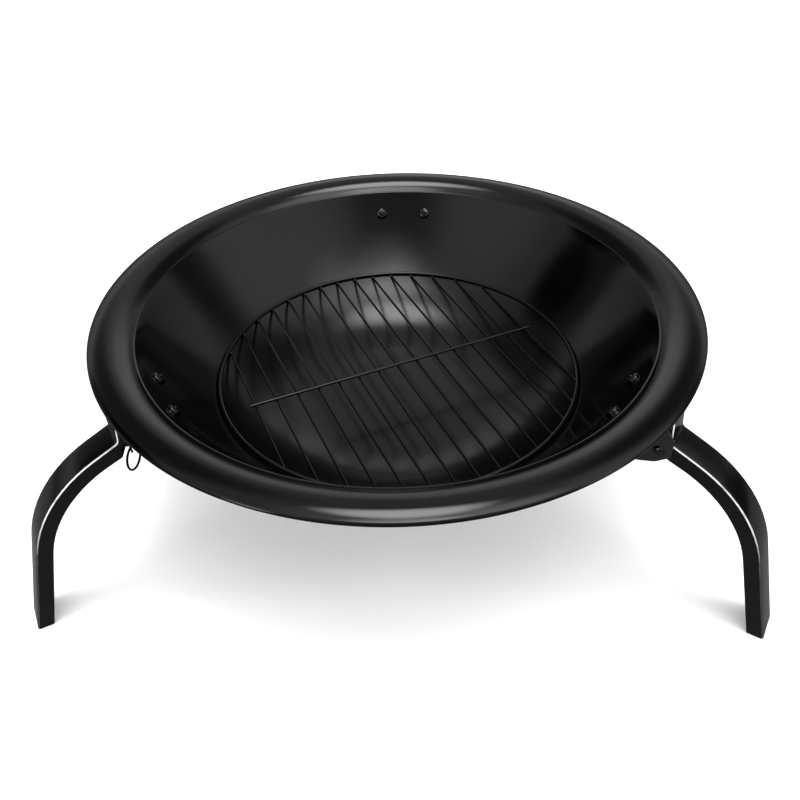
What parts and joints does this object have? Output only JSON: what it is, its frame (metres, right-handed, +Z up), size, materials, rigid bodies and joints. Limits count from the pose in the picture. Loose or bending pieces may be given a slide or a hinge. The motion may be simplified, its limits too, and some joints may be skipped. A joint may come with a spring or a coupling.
{
  "type": "fire pit with grate",
  "caption": "Portable fire pit: a round pressed steel bowl on folding curved legs with pull rings, and a loose round wire grate that lifts out of the bowl.",
  "frame": {"origin": "on the ground, directly under the axis of the bowl", "axes": "+Z up along the bowl's axis, +Y towards the leg called back, +X towards the side of the leg called right"},
  "size_m": [0.6986, 0.673, 0.235],
  "materials": {
    "bowl_enamel": "glossy black enamel",
    "grate_steel": "black enamel wire",
    "bracket_paint": "glossy black paint",
    "leg_paint": "glossy black paint",
    "bolt_steel": "black oxide, semi-gloss",
    "nut_steel": "zinc plated",
    "pin_steel": "black oxide, semi-gloss",
    "ring_steel": "black oxide wire"
  },
  "bodies": {
    "bowl_body": {"bowl": "bowl_enamel", "bracket_back": "bracket_paint", "bracket_left": "bracket_paint", "bracket_right": "bracket_paint", "bolts_back": "bolt_steel", "bolts_left": "bolt_steel", "bolts_right": "bolt_steel", "nuts_back": "nut_steel", "nuts_left": "nut_steel", "nuts_right": "nut_steel"},
    "grate": {"grate_ring": "grate_steel", "grate_bars": "grate_steel", "grate_cross_wire": "grate_steel"},
    "leg_body_back": {"leg_back": "leg_paint", "leg_hinge_back": "leg_paint", "hinge_pin_back": "pin_steel"},
    "leg_body_left": {"leg_left": "leg_paint", "leg_hinge_left": "leg_paint", "hinge_pin_left": "pin_steel"},
    "leg_body_right": {"leg_right": "leg_paint", "leg_hinge_right": "leg_paint", "hinge_pin_right": "pin_steel"},
    "ring_body_back": {"pull_ring_back": "ring_steel"},
    "ring_body_left": {"pull_ring_left": "ring_steel"},
    "ring_body_right": {"pull_ring_right": "ring_steel"}
  },
  "joints": [
    {"name": "grate_lift", "type": "slide", "parent": "bowl_body", "child": "grate", "axis": [0, 0, 1], "range_m": [0, 0.3]},
    {"name": "leg_fold_back", "type": "hinge", "parent": "bowl_body", "child": "leg_body_back", "pos_m": [0, 0.2656, 0.176], "axis": [-1, 0, 0], "range_deg": [0, 100]},
    {"name": "leg_fold_left", "type": "hinge", "parent": "bowl_body", "child": "leg_body_left", "pos_m": [-0.23002, -0.1328, 0.176], "axis": [0.5, -0.866, 0], "range_deg": [0, 100]},
    {"name": "leg_fold_right", "type": "hinge", "parent": "bowl_body", "child": "leg_body_right", "pos_m": [0.23002, -0.1328, 0.176], "axis": [0.5, 0.866, 0], "range_deg": [0, 100]},
    {"name": "ring_swing_back", "type": "hinge", "parent": "leg_body_back", "child": "ring_body_back", "pos_m": [-0.0176, 0.2656, 0.1757], "axis": [-0.7771, 0.6293, 0], "range_deg": [-8, 60]},
    {"name": "ring_swing_left", "type": "hinge", "parent": "leg_body_left", "child": "ring_body_left", "pos_m": [-0.22122, -0.14804, 0.1757], "axis": [-0.1564, -0.9877, 0], "range_deg": [-8, 60]},
    {"name": "ring_swing_right", "type": "hinge", "parent": "leg_body_right", "child": "ring_body_right", "pos_m": [0.23882, -0.11756, 0.1757], "axis": [0.9336, 0.3584, 0], "range_deg": [-8, 60]}
  ]
}
